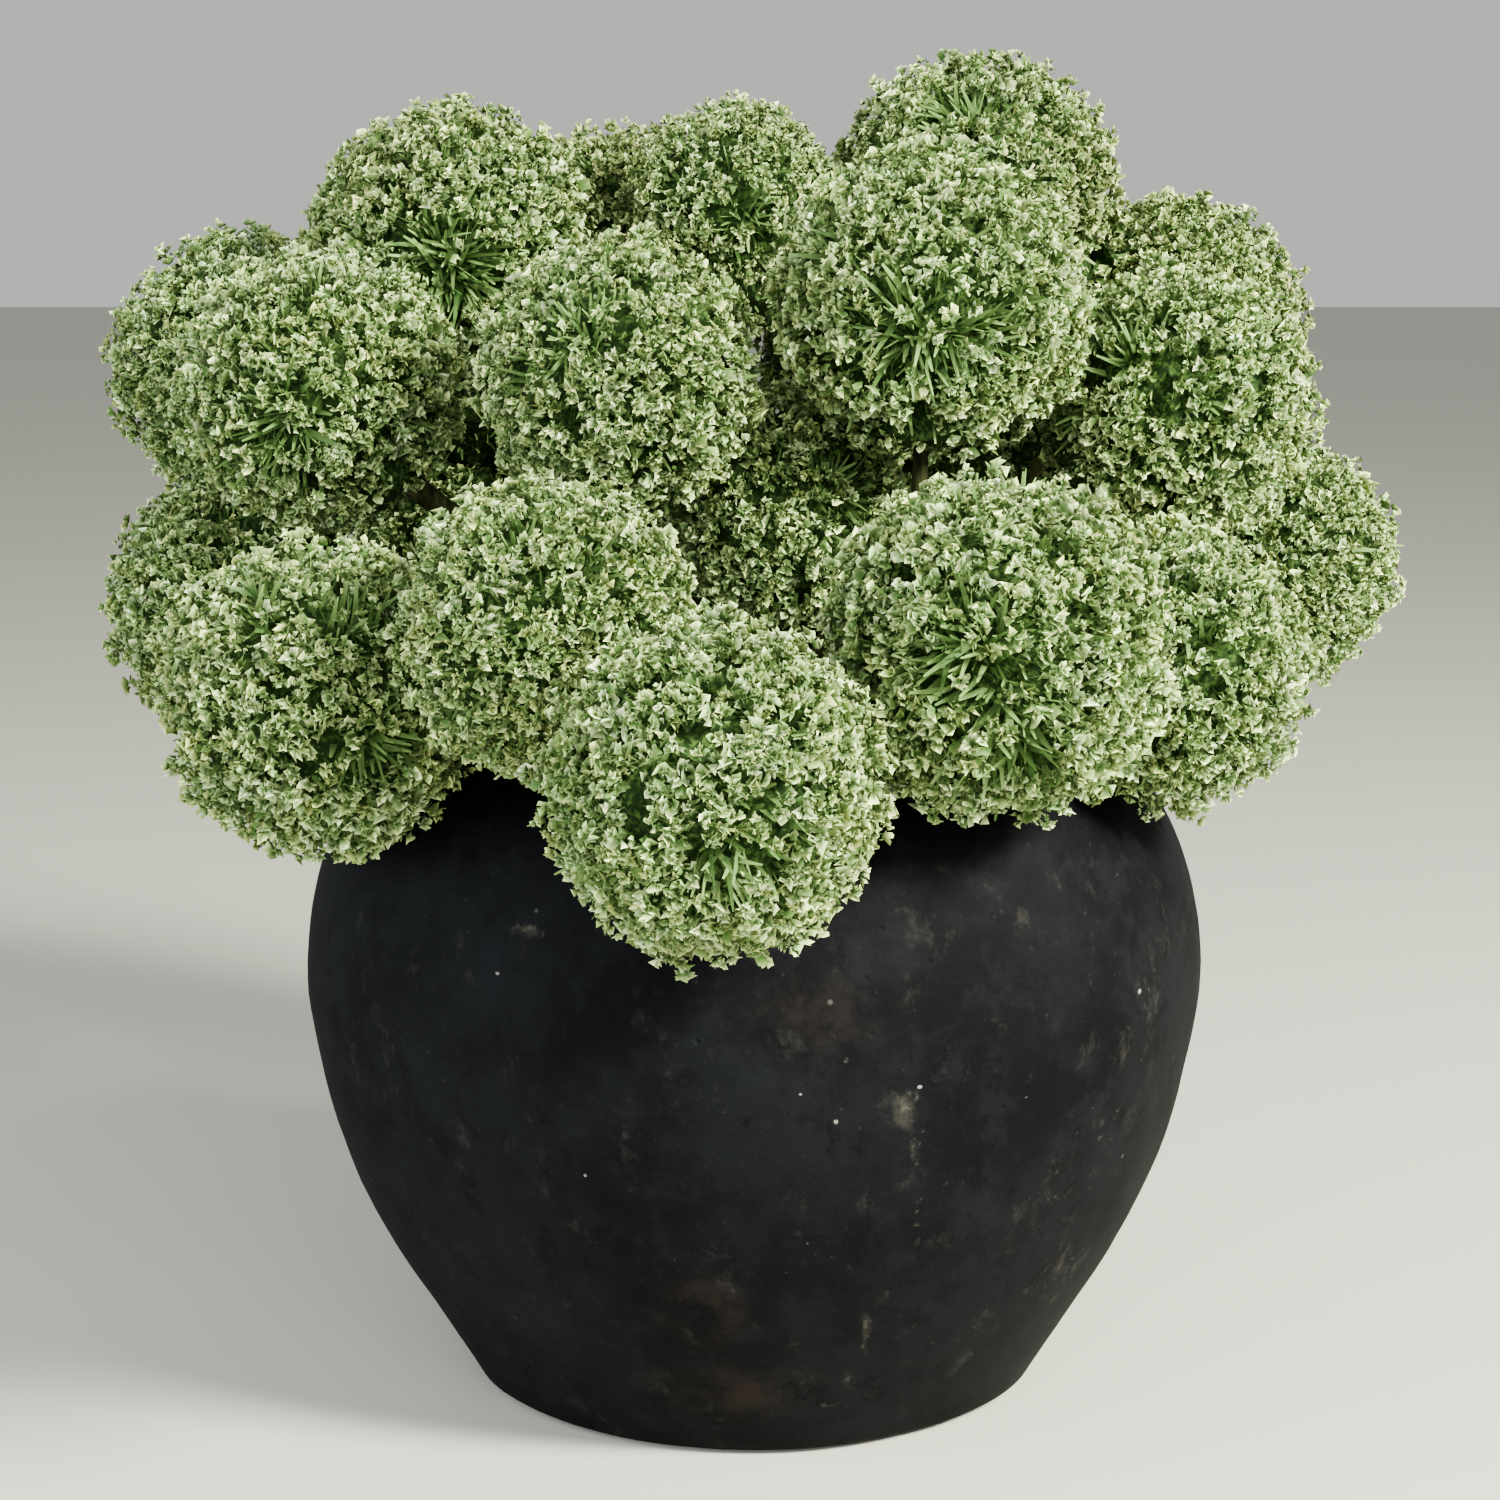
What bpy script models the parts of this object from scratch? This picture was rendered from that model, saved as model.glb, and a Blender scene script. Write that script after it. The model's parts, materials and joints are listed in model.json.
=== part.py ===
"""Potted allium: a dark turned clay jar filled with globe flower heads on short stems.

Metres, +Z up. The origin is the centre of the jar's foot, on the ground. The photo looks along +Y.
"""

import math
import random

import bmesh
import bpy
from mathutils import Matrix, Vector

MM = 0.001
NAME = "potted_allium"
GAP = 0.3 * MM
SEED = 11

# Jar: outer side from the rim down to the foot, then the inner wall from the floor up (radius, height),
# the steps of its turning, the weld at its axis and the samples along each stretch of its side
POT_OUTER_MM = (
    (70.0, 212.0), (74.5, 211.0), (76.0, 208.0), (75.0, 205.0), (90.0, 197.0), (104.6, 187.0),
    (116.4, 175.0), (128.0, 150.0), (131.3, 125.0), (128.3, 100.0), (122.3, 75.0), (112.2, 50.0), (97.6, 25.0),
    (85.0, 5.0), (82.0, 1.6), (76.5, 0.0),
)
POT_INNER_MM = (
    (70.0, 10.0), (87.0, 27.0), (107.0, 62.0), (119.6, 101.0), (121.8, 125.0), (118.6, 149.0),
    (107.5, 173.0), (86.0, 188.5), (66.0, 198.5), (63.5, 204.0), (66.0, 210.8),
)
TURN_STEPS = 38
WELD = 0.0001
POT_SAMPLES = 8

# Soil: fills the jar up to this height, a gap away from the wall
SOIL_TOP = 202.0 * MM
HOLE_DEPTH = 38.0 * MM
HOLE_SIDES = 8
HOLE_RADIUS = 2.75 * MM

# Stems: radius, points along the free part, and the weld of their ends
STEM_RADIUS = 2.2 * MM
STEM_POINTS = 6
STEM_WELD = 0.00001

# Heads below this height hang over the rim, so their stems rise first and come in from above; a short stem
# bends by no more than this share of the distance that it spans
LOW_HEAD_BELOW = 250.0
LOW_AIM_HEIGHT = 250.0
UPPER_AIM_HEIGHT = 205.0
LOW_RISE, LOW_REACH = 26.0, 24.0
UPPER_RISE, UPPER_REACH = 30.0, 30.0
BEND_SHARE = 0.45

# Heads: centre x, y, z and radius, then where the stem leaves the soil (x, y), all in mm
HEADS_MM = (
    (-10, -162, 203, 43.5, -3, -47),
    (63, -111, 231, 46.5, 15, -40),
    (-116, -75, 211, 44, -34, -23),
    (-53, -110, 235, 40, -16, -34),
    (113, -52, 216, 41, 32, -22),
    (-123, -9, 289, 41.5, -36, -5),
    (-36, -49, 295, 40, -27, -21),
    (48, -42, 315, 43.5, 43, -34),
    (9, -14, 256, 38, 6, -6),
    (67, 67, 343, 44.5, 25, 24),
    (-91, 52, 327, 45, -31, 18),
    (-6, 61, 337, 36, -2, 22),
    (-42, 117, 329, 37.5, -15, 41),
    (-158, 72, 292, 42, -45, 21),
    (-152, 20, 224, 40.5, -48, 7),
    (131, 86, 303, 42, 36, 28),
    (120, -10, 285, 41, 46, -6),
    (161, 53, 233, 38, 46, 12),
    (-92, 126, 222, 44, -23, 31),
    (-3, 156, 228, 45, 0, 47),
    (86, 138, 240, 44, 26, 40),
    (42, 140, 293, 44, 12, 34),
    (-95, 131, 289, 43, -34, 34),
)

# Head relief: the core's radius, the range of the floret tips and how deep the flat seat of the stem lies, as
# shares of the head's radius; the cosine of the seat's half angle; then how far a pressed head stays from the
# plane that it shares with another
CORE_SHARE = 0.80
CORE_JITTER = 0.02
TIP_LOW, TIP_HIGH = 0.95, 1.0
TIP_SHIFT = 0.06
EDGE_CUTS = 2
SEAT_SHARE = 0.88
SEAT_COSINE = 0.90
HEAD_GAP = 0.25 * MM

# Colours of the CAD model: base colour and roughness
FINISHES = {
    "pot": ((0.020, 0.019, 0.018), 0.85),
    "soil": ((0.050, 0.036, 0.024), 0.95),
    "stem": ((0.085, 0.170, 0.045), 0.65),
    "head": ((0.420, 0.500, 0.300), 0.90),
}


def clear_scene():
    """Remove every object that the start-up scene brings."""
    for obj in list(bpy.data.objects):
        bpy.data.objects.remove(obj, do_unlink=True)


def new_collection(name):
    """Return a new collection linked to the scene."""
    made = bpy.data.collections.new(name)
    bpy.context.scene.collection.children.link(made)
    return made


def finish(name):
    """Return a Principled material with the colour and roughness of one finish."""
    colour, roughness = FINISHES[name]
    mat = bpy.data.materials.new(name)
    mat.use_nodes = True
    shader = mat.node_tree.nodes["Principled BSDF"]
    shader.inputs["Base Color"].default_value = (*colour, 1.0)
    shader.inputs["Roughness"].default_value = roughness
    shader.inputs["Metallic"].default_value = 0.0
    mat.diffuse_color = (*colour, 1.0)
    return mat


def add_object(name, mesh, mat, home):
    """Link a mesh to its collection as a named object with its own material."""
    obj = bpy.data.objects.new(name, mesh)
    mesh.name = name
    mesh.materials.clear()
    mesh.materials.append(mat)
    home.objects.link(obj)
    return obj


def turned(name, profile_mm, mat, home):
    """Turn a profile of (radius, height) points about the vertical axis with a Screw modifier."""
    mesh = bpy.data.meshes.new(name)
    points = [(r * MM, 0.0, z * MM) for r, z in profile_mm]
    edges = [(i, i + 1) for i in range(len(points) - 1)]
    mesh.from_pydata(points, edges, [])
    obj = add_object(name, mesh, mat, home)
    screw = obj.modifiers.new("turn", "SCREW")
    screw.axis = "Z"
    screw.angle = 2.0 * math.pi
    screw.steps = TURN_STEPS
    screw.render_steps = TURN_STEPS
    screw.use_merge_vertices = True
    screw.merge_threshold = WELD
    screw.use_smooth_shade = True
    return obj


def build_pot(mat, home):
    """The jar: floor and inner wall, rim, then the outer side down to the foot."""
    inner = [(0.0, POT_INNER_MM[0][1])] + list(POT_INNER_MM)
    outer = list(POT_OUTER_MM) + [(0.0, POT_OUTER_MM[-1][1])]
    return turned("pot", inner + outer, mat, home)


def soil_profile():
    """The filling's side: the inner wall below the soil's top, moved in by the gap."""
    gap = GAP / MM
    top = SOIL_TOP / MM
    below = [p for p in POT_INNER_MM if p[1] < top]
    above = next(p for p in POT_INNER_MM if p[1] >= top)
    last = below[-1]
    share = (top - last[1]) / (above[1] - last[1])
    rim = (last[0] + share * (above[0] - last[0]), top)
    side = [rim] + below[::-1]
    moved = [(r - 2.0 * gap, z) for r, z in side[:-1]]
    moved.append((side[-1][0] - 2.0 * gap, side[-1][1] + gap))
    return [(0.0, top)] + moved + [(0.0, side[-1][1] + gap)]


def stem_hole(name, x_mm, y_mm, home):
    """A plain round cutter for one stem's hole in the soil."""
    bm = bmesh.new()
    depth = HOLE_DEPTH + 2.0 * MM
    bmesh.ops.create_cone(
        bm, cap_ends=True, segments=HOLE_SIDES, radius1=HOLE_RADIUS, radius2=HOLE_RADIUS, depth=depth,
        matrix=Matrix.Translation((x_mm * MM, y_mm * MM, SOIL_TOP - HOLE_DEPTH + depth / 2.0)))
    mesh = bpy.data.meshes.new(name)
    bm.to_mesh(mesh)
    bm.free()
    cutter = bpy.data.objects.new(name, mesh)
    cutter.hide_render = True
    cutter.display_type = "WIRE"
    home.objects.link(cutter)
    return cutter


def build_soil(mat, home, cutters):
    """The filling, with one plain hole for each stem."""
    soil = turned("soil", soil_profile(), mat, home)
    for number, head in enumerate(HEADS_MM, 1):
        stem_hole(f"hole_{number:02d}", head[4], head[5], cutters)
    cut = soil.modifiers.new("stem holes", "BOOLEAN")
    cut.operation = "DIFFERENCE"
    cut.solver = "EXACT"
    cut.operand_type = "COLLECTION"
    cut.collection = cutters
    return soil


def seat_direction(head):
    """Unit vector from a head's centre to the middle of its underside, where the stem comes in."""
    x, y, z, _, stem_x, stem_y = head
    if z < LOW_HEAD_BELOW:
        aim = Vector((0.0, 0.0, LOW_AIM_HEIGHT))
    else:
        aim = Vector((stem_x, stem_y, UPPER_AIM_HEIGHT))
    return (aim - Vector((x, y, z))).normalized()


def stem_path(head):
    """Points of one stem from the bottom of its hole to the underside of its head, in metres."""
    x, y, z, radius, stem_x, stem_y = head
    low = z < LOW_HEAD_BELOW
    rise, reach = (LOW_RISE, LOW_REACH) if low else (UPPER_RISE, UPPER_REACH)
    seat = seat_direction(head)
    top = SOIL_TOP / MM
    start = Vector((stem_x, stem_y, top))
    end = Vector((x, y, z)) + seat * (radius * SEAT_SHARE + GAP / MM)
    most = (end - start).length * BEND_SHARE
    lift = start + Vector((0.0, 0.0, min(rise, most)))
    lead = end + seat * min(reach, most)
    path = [Vector((stem_x, stem_y, top - HOLE_DEPTH / MM + GAP / MM))]
    for i in range(STEM_POINTS + 1):
        t = i / STEM_POINTS
        k = 1.0 - t
        path.append(start * k ** 3 + lift * 3.0 * k * k * t + lead * 3.0 * k * t * t + end * t ** 3)
    return [p * MM for p in path]


def build_stem(name, head, mat, home):
    """One round stem with closed ends."""
    path = stem_path(head)
    curve = bpy.data.curves.new(name, "CURVE")
    curve.dimensions = "3D"
    curve.bevel_depth = STEM_RADIUS
    curve.bevel_resolution = 1
    curve.use_fill_caps = True
    spline = curve.splines.new("POLY")
    spline.points.add(len(path) - 1)
    for point, place in zip(spline.points, path):
        point.co = (*place, 1.0)
    wire = bpy.data.objects.new(name + "_wire", curve)
    bpy.context.scene.collection.objects.link(wire)
    mesh = bpy.data.meshes.new_from_object(wire.evaluated_get(bpy.context.evaluated_depsgraph_get()))
    bpy.data.objects.remove(wire, do_unlink=True)
    bm = bmesh.new()
    bm.from_mesh(mesh)
    bmesh.ops.remove_doubles(bm, verts=bm.verts, dist=STEM_WELD)
    bmesh.ops.recalc_face_normals(bm, faces=bm.faces)
    for face in bm.faces:
        face.smooth = len(face.verts) == 4
    bm.to_mesh(mesh)
    bm.free()
    return add_object(name, mesh, mat, home)


def pot_touch_plane(centre, radius):
    """The plane at the jar's nearest outside point to a head, or None where the head is clear of it."""
    across = math.hypot(centre.x, centre.y)
    best = None
    for (r0, z0), (r1, z1) in zip(POT_OUTER_MM, POT_OUTER_MM[1:]):
        for i in range(POT_SAMPLES + 1):
            t = i / POT_SAMPLES
            spot = Vector((r0 + t * (r1 - r0), z0 + t * (z1 - z0))) * MM
            away = math.hypot(across - spot.x, centre.z - spot.y)
            if best is None or away < best[0]:
                best = (away, spot)
    away, spot = best
    if away > radius + 2.0 * GAP:
        return None
    point = Vector((centre.x / across * spot.x, centre.y / across * spot.x, spot.y))
    normal = (point - centre).normalized()
    return normal, away - 2.0 * GAP


def limit_planes(number):
    """Planes that one head stays behind: its seat, its pressed neighbours and the jar.

    Each plane is a unit normal and a distance from the head's centre.
    """
    head = HEADS_MM[number]
    centre = Vector(head[:3]) * MM
    radius = head[3] * MM
    planes = [(seat_direction(head), radius * SEAT_SHARE)]
    for other_number, other in enumerate(HEADS_MM):
        if other_number == number:
            continue
        step = Vector(other[:3]) * MM - centre
        apart = step.length
        other_radius = other[3] * MM
        if apart > radius + other_radius + GAP:
            continue
        share = (apart * apart + radius * radius - other_radius * other_radius) / (2.0 * apart)
        planes.append((step / apart, share - HEAD_GAP))
    touch = pot_touch_plane(centre, radius)
    if touch is not None:
        planes.append(touch)
    return planes


def build_head(number, mat, home):
    """One flower head: a faceted ball whose every facet rises to a floret tip."""
    head = HEADS_MM[number]
    name = f"head_{number + 1:02d}"
    centre = Vector(head[:3]) * MM
    radius = head[3] * MM
    rng = random.Random(SEED + number)
    bm = bmesh.new()
    turn = Matrix.Rotation(rng.uniform(0.0, math.pi), 4, Vector((rng.random(), rng.random(), rng.random() + 0.1)))
    bmesh.ops.create_icosphere(bm, subdivisions=1, radius=1.0, matrix=turn)
    bmesh.ops.subdivide_edges(bm, edges=bm.edges, cuts=EDGE_CUTS, use_grid_fill=True)
    for vert in bm.verts:
        vert.co = vert.co.normalized() * (CORE_SHARE + rng.uniform(-CORE_JITTER, CORE_JITTER))
    core = set(bm.verts)
    bmesh.ops.poke(bm, faces=bm.faces)
    for vert in bm.verts:
        if vert in core:
            continue
        shift = Vector((rng.uniform(-1.0, 1.0), rng.uniform(-1.0, 1.0), rng.uniform(-1.0, 1.0))) * TIP_SHIFT
        vert.co = (vert.co.normalized() + shift).normalized() * rng.uniform(TIP_LOW, TIP_HIGH)
    planes = limit_planes(number)
    seat, depth = planes[0]
    for vert in bm.verts:
        arm = vert.co * radius
        if arm.dot(seat) > arm.length * SEAT_COSINE:
            arm = arm * (depth / arm.dot(seat))
        for normal, limit in planes:
            beyond = arm.dot(normal)
            if beyond > limit:
                arm = arm * (limit / beyond)
        vert.co = centre + arm
    bmesh.ops.recalc_face_normals(bm, faces=bm.faces)
    mesh = bpy.data.meshes.new(name)
    bm.to_mesh(mesh)
    bm.free()
    return add_object(name, mesh, mat, home)


def main():
    """Build the jar, its filling, the stems and the heads in one frame."""
    clear_scene()
    home = new_collection(NAME)
    cutters = new_collection("cutters")
    materials = {name: finish(name) for name in FINISHES}
    build_pot(materials["pot"], home)
    build_soil(materials["soil"], home, cutters)
    for number, head in enumerate(HEADS_MM):
        build_stem(f"stem_{number + 1:02d}", head, materials["stem"], home)
        build_head(number, materials["head"], home)


main()
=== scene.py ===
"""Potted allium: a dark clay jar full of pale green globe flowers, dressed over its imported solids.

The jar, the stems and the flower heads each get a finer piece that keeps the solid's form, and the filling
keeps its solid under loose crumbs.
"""

from __future__ import annotations

import json
import logging
import math
import random
from dataclasses import dataclass, field
from enum import Enum

import bmesh
import bpy
import numpy as np
from bmesh.types import BMesh
from bpy.types import Collection, GeometryNodeTree, ID, Material, Mesh, Node, NodeSocket, NodeTree, Object
from mathutils import Matrix, Vector, noise

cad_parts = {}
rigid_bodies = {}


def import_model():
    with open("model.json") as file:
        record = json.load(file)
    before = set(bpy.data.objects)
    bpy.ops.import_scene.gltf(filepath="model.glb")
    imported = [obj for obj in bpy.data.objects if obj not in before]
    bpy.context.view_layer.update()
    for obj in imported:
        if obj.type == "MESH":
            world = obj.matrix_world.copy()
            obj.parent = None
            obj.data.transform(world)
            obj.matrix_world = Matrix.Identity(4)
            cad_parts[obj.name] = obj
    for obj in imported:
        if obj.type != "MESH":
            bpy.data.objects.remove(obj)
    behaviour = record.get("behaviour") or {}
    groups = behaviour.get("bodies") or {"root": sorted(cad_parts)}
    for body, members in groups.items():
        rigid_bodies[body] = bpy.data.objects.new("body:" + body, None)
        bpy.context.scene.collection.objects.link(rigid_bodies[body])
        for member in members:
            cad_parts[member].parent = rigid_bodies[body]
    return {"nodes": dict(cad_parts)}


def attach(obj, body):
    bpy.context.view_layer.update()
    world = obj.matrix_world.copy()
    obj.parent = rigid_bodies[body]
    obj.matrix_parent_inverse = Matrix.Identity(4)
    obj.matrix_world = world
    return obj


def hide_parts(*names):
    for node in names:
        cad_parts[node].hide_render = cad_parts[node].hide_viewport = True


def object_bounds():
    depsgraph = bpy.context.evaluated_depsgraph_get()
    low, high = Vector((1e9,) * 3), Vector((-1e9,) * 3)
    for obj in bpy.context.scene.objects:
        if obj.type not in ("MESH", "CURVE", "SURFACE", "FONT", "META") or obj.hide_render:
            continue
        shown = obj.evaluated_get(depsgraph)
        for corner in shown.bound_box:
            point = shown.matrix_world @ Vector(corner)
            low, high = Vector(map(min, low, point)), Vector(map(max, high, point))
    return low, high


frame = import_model()
CAD_BOX = [[float(v) for v in corner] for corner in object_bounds()]

log = logging.getLogger("potted_allium")
MM = 0.001
Colour = tuple[float, float, float]


def drop_empty_slots(mesh: Mesh) -> None:
    """Keep only the material slots that a face uses.

    Args:
        mesh: The mesh, which is changed.
    """
    used = np.empty(len(mesh.polygons), np.int32)
    mesh.polygons.foreach_get("material_index", used)
    kept = sorted(set(used.tolist()))
    finishes = [mesh.materials[i] for i in kept]
    mesh.materials.clear()
    for finish in finishes:
        mesh.materials.append(finish)
    places = np.searchsorted(np.array(kept, np.int32), used).astype(np.int32)
    mesh.polygons.foreach_set("material_index", places)


def put(name: str, data: ID) -> Object:
    """Put a mesh, a lamp or a camera into the scene as an object at the origin.

    Args:
        name: The object's name.
        data: What it holds.

    Returns:
        The object.
    """
    made = bpy.data.objects.new(name, data)
    bpy.context.scene.collection.objects.link(made)
    return made


def settle(name: str, bm: BMesh, *finishes: Material) -> Mesh:
    """Turn a BMesh into a mesh and free it.

    Args:
        name: The mesh's name.
        bm: The BMesh, which can't be used afterwards.
        finishes: The mesh's materials.

    Returns:
        The mesh.
    """
    mesh = bpy.data.meshes.new(name)
    bm.to_mesh(mesh)
    bm.free()
    for finish in finishes:
        mesh.materials.append(finish)
    return mesh


def cubic(knots: tuple[Vector, Vector, Vector, Vector], t: float) -> Vector:
    """The point of a cubic curve at a share t of its way."""
    k = 1.0 - t
    return knots[0] * k ** 3 + knots[1] * 3.0 * k * k * t + knots[2] * 3.0 * k * t * t + knots[3] * t ** 3


def grow(name: str, base: Mesh, tree: GeometryNodeTree,
         values: dict[str, object]) -> Mesh:
    """Run a Geometry Nodes tree over a mesh and keep only the plain mesh that comes out.

    Args:
        name: The new mesh's name.
        base: The mesh that the tree starts from.
        tree: The tree.
        values: Its inputs by name.

    Returns:
        The new mesh.
    """
    names = {item.name: item.identifier for item in tree.interface.items_tree if item.in_out == "INPUT"}
    carrier = put("carrier", base)
    step = carrier.modifiers.new(name, "NODES")
    step.node_group = tree
    for key, value in values.items():
        step[names[key]] = value
    graph = bpy.context.evaluated_depsgraph_get()
    mesh = bpy.data.meshes.new_from_object(
        carrier.evaluated_get(graph), preserve_all_data_layers=True, depsgraph=graph)
    bpy.data.objects.remove(carrier, do_unlink=True)
    drop_empty_slots(mesh)
    mesh.name = name
    return mesh


class Num:
    """A shader socket that carries one number and takes part in Python expressions."""

    def __init__(self, tree: "Shades", socket: NodeSocket) -> None:
        """Keep the tree that new nodes go into and the output socket that carries the number."""
        self.tree = tree
        self.socket = socket

    def _op(self, operation: str, a: object, b: object) -> "Num":
        """One Math node's result, from plain numbers or Nums."""
        made = self.tree.add("ShaderNodeMath", {"operation": operation}, {0: a, 1: b})
        return Num(self.tree, made.outputs[0])

    def __add__(self, other: object) -> "Num":
        """Sum."""
        return self._op("ADD", self, other)

    __radd__ = __add__

    def __sub__(self, other: object) -> "Num":
        """Difference."""
        return self._op("SUBTRACT", self, other)

    def __rsub__(self, other: object) -> "Num":
        """Difference from a plain number."""
        return self._op("SUBTRACT", other, self)

    def __mul__(self, other: object) -> "Num":
        """Product."""
        return self._op("MULTIPLY", self, other)

    __rmul__ = __mul__

    def most(self, other: object) -> "Num":
        """The greater of the two."""
        return self._op("MAXIMUM", self, other)

    def least(self, other: object) -> "Num":
        """The smaller of the two."""
        return self._op("MINIMUM", self, other)

    def band(self, low: float, high: float, to_low: float = 0.0, to_high: float = 1.0) -> "Num":
        """Map a smooth step of this number from low to high onto the range from to_low to to_high."""
        made = self.tree.add("ShaderNodeMapRange", {"interpolation_type": "SMOOTHSTEP", "clamp": True}, {
            "Value": self, "From Min": low, "From Max": high, "To Min": to_low, "To Max": to_high})
        return Num(self.tree, made.outputs["Result"])


class Graph:
    """A node tree that is built one node at a time."""

    def __init__(self, tree: NodeTree) -> None:
        """Keep the tree's nodes and links."""
        self.nodes = tree.nodes
        self.links = tree.links

    def feed(self, socket: NodeSocket, value: object) -> None:
        """Link a socket or a Num, or set a plain value.

        Args:
            socket: The input to fill.
            value: What fills it.
        """
        if isinstance(value, Num):
            value = value.socket
        if isinstance(value, NodeSocket):
            self.links.new(value, socket)
        elif socket.type == "RGBA":
            socket.default_value = (*value, 1.0)
        else:
            socket.default_value = value

    def add(self, kind: str, settings: dict[str, object], values: dict[object, object]) -> Node:
        """Add one node, set it up, then fill or link its inputs.

        Args:
            kind: The node's type.
            settings: Properties that are set first.
            values: Input sockets by name or number, each a plain value, a socket or a Num.

        Returns:
            The node.
        """
        made = self.nodes.new(kind)
        for key, value in settings.items():
            setattr(made, key, value)
        for key, value in values.items():
            self.feed(made.inputs[key], value)
        return made


class Shades(Graph):
    """Builds one material's node tree."""

    def __init__(self, name: str) -> None:
        """Start a material with a bare Principled shader.

        Args:
            name: The material's name.
        """
        self.material = bpy.data.materials.new(name)
        self.material.use_nodes = True
        super().__init__(self.material.node_tree)
        self.shader = self.nodes["Principled BSDF"]

    def attribute(self, name: str) -> Num:
        """A number that the mesh carries under this name."""
        return Num(self, self.add("ShaderNodeAttribute", {"attribute_name": name}, {}).outputs["Fac"])

    def place(self) -> NodeSocket:
        """Object coordinates, which are the row's own metres."""
        return self.add("ShaderNodeTexCoord", {}, {}).outputs["Object"]

    def moved(self, where: NodeSocket, scale: Colour,
              shift: Colour = (0.0, 0.0, 0.0)) -> NodeSocket:
        """Coordinates stretched by a factor on each axis and then shifted."""
        made = self.add("ShaderNodeVectorMath", {"operation": "MULTIPLY_ADD"}, {0: where, 1: scale, 2: shift})
        return made.outputs[0]

    def noise(self, where: NodeSocket, scale: float, detail: float = 4.0,
              rough: float = 0.55) -> Num:
        """Cloudy noise around one half, with so many cells to a metre."""
        made = self.add("ShaderNodeTexNoise", {}, {
            "Vector": where, "Scale": scale, "Detail": detail, "Roughness": rough})
        return Num(self, made.outputs["Fac"])

    def cells(self, where: NodeSocket, scale: float) -> Num:
        """Distance in cell widths to the nearest of scattered points, with so many to a metre."""
        made = self.add("ShaderNodeTexVoronoi", {}, {"Vector": where, "Scale": scale})
        return Num(self, made.outputs["Distance"])

    def near(self, where: NodeSocket, spot: Colour, reach: Colour) -> Num:
        """How close a point is to a spot, fading out over an ellipsoid.

        Args:
            where: Coordinates.
            spot: The spot's centre, in metres.
            reach: Half sizes of the ellipsoid, in metres.

        Returns:
            One at the spot, zero at the ellipsoid's skin.
        """
        scale = tuple(1.0 / r for r in reach)
        shift = tuple(-s / r for s, r in zip(spot, reach))
        away = self.add("ShaderNodeVectorMath", {"operation": "LENGTH"}, {0: self.moved(where, scale, shift)})
        return Num(self, away.outputs["Value"]).band(0.0, 1.0, 1.0, 0.0)

    def mix(self, share: object, first: object, second: object) -> NodeSocket:
        """Mix two colours.

        Args:
            share: How much of the second, a number or a Num.
            first: Colour at zero.
            second: Colour at one.

        Returns:
            The mixed colour.
        """
        made = self.nodes.new("ShaderNodeMix")
        made.data_type = "RGBA"
        made.clamp_factor = True
        self.feed(made.inputs[0], share)
        self.feed(made.inputs[6], first)
        self.feed(made.inputs[7], second)
        return made.outputs[2]

    def bump(self, height: Num, distance: float, strength: float = 1.0) -> None:
        """Feed the shader's normal from a height of about zero to one, as a relief so many metres deep."""
        made = self.add("ShaderNodeBump", {}, {"Height": height, "Distance": distance, "Strength": strength})
        self.links.new(made.outputs[0], self.shader.inputs["Normal"])

    def finish(self, **inputs: object) -> Material:
        """Fill the Principled shader's inputs and return the material.

        Args:
            inputs: Values by socket name, with underscores for spaces.

        Returns:
            The material.
        """
        for key, value in inputs.items():
            self.feed(self.shader.inputs[key.replace("_", " ")], value)
        return self.material


@dataclass(frozen=True)
class FloretFinish:
    """Crumpled cream florets, greener towards their stalks, and darker there by painted shade."""

    cream: Colour = (0.79, 0.98, 0.37)
    white: Colour = (0.86, 0.99, 0.56)
    yellow: Colour = (0.88, 0.92, 0.27)
    lime: Colour = (0.36, 0.55, 0.20)
    dry: Colour = (0.40, 0.36, 0.16)
    throat_and_shade: Colour = (0.036, 0.088, 0.014)
    roughness: float = 0.75

    def make(self) -> Material:
        """Build the material from the tuft's own height and tones.

        Returns:
            The material.
        """
        s = Shades("florets")
        height = s.attribute("height")
        tone = s.attribute("tone")
        flake = s.attribute("flake")
        where = s.place()
        region = s.noise(where, 24.0, 3.0)
        light = s.mix(tone.band(0.45, 1.0), self.cream, self.white)
        golden = tone.band(0.30, 0.10) * 0.55 + s.noise(where, 9.0, 2.0).band(0.50, 0.70, 0.0, 0.35)
        light = s.mix(golden.least(0.8), light, self.yellow)
        light = s.mix(flake.band(0.35, 0.95, 0.0, 0.85), light, self.lime)
        # The dry colour comes in by cloudy noise, a real tone, and by each head's share, which is partly real
        # drying and partly painted shade
        dry_and_shade_share = region.band(0.52, 0.66, 0.0, 0.35) + s.attribute("dry") * 0.6
        light = s.mix(dry_and_shade_share.least(0.8), light, self.dry)
        fine = s.noise(where, 1100.0, 2.0)
        light = s.mix(fine.band(0.45, 0.75, 0.0, 0.45), light, self.lime)
        # Painted shade: low height values, at petal feet and on a tuft's outer petals, take the dark throat
        # colour, which is partly the florets' real green base
        colour = s.mix(height.band(0.17, 1.0), self.throat_and_shade, light)
        return s.finish(Base_Color=colour, Roughness=self.roughness, Specular_IOR_Level=0.10)


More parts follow.
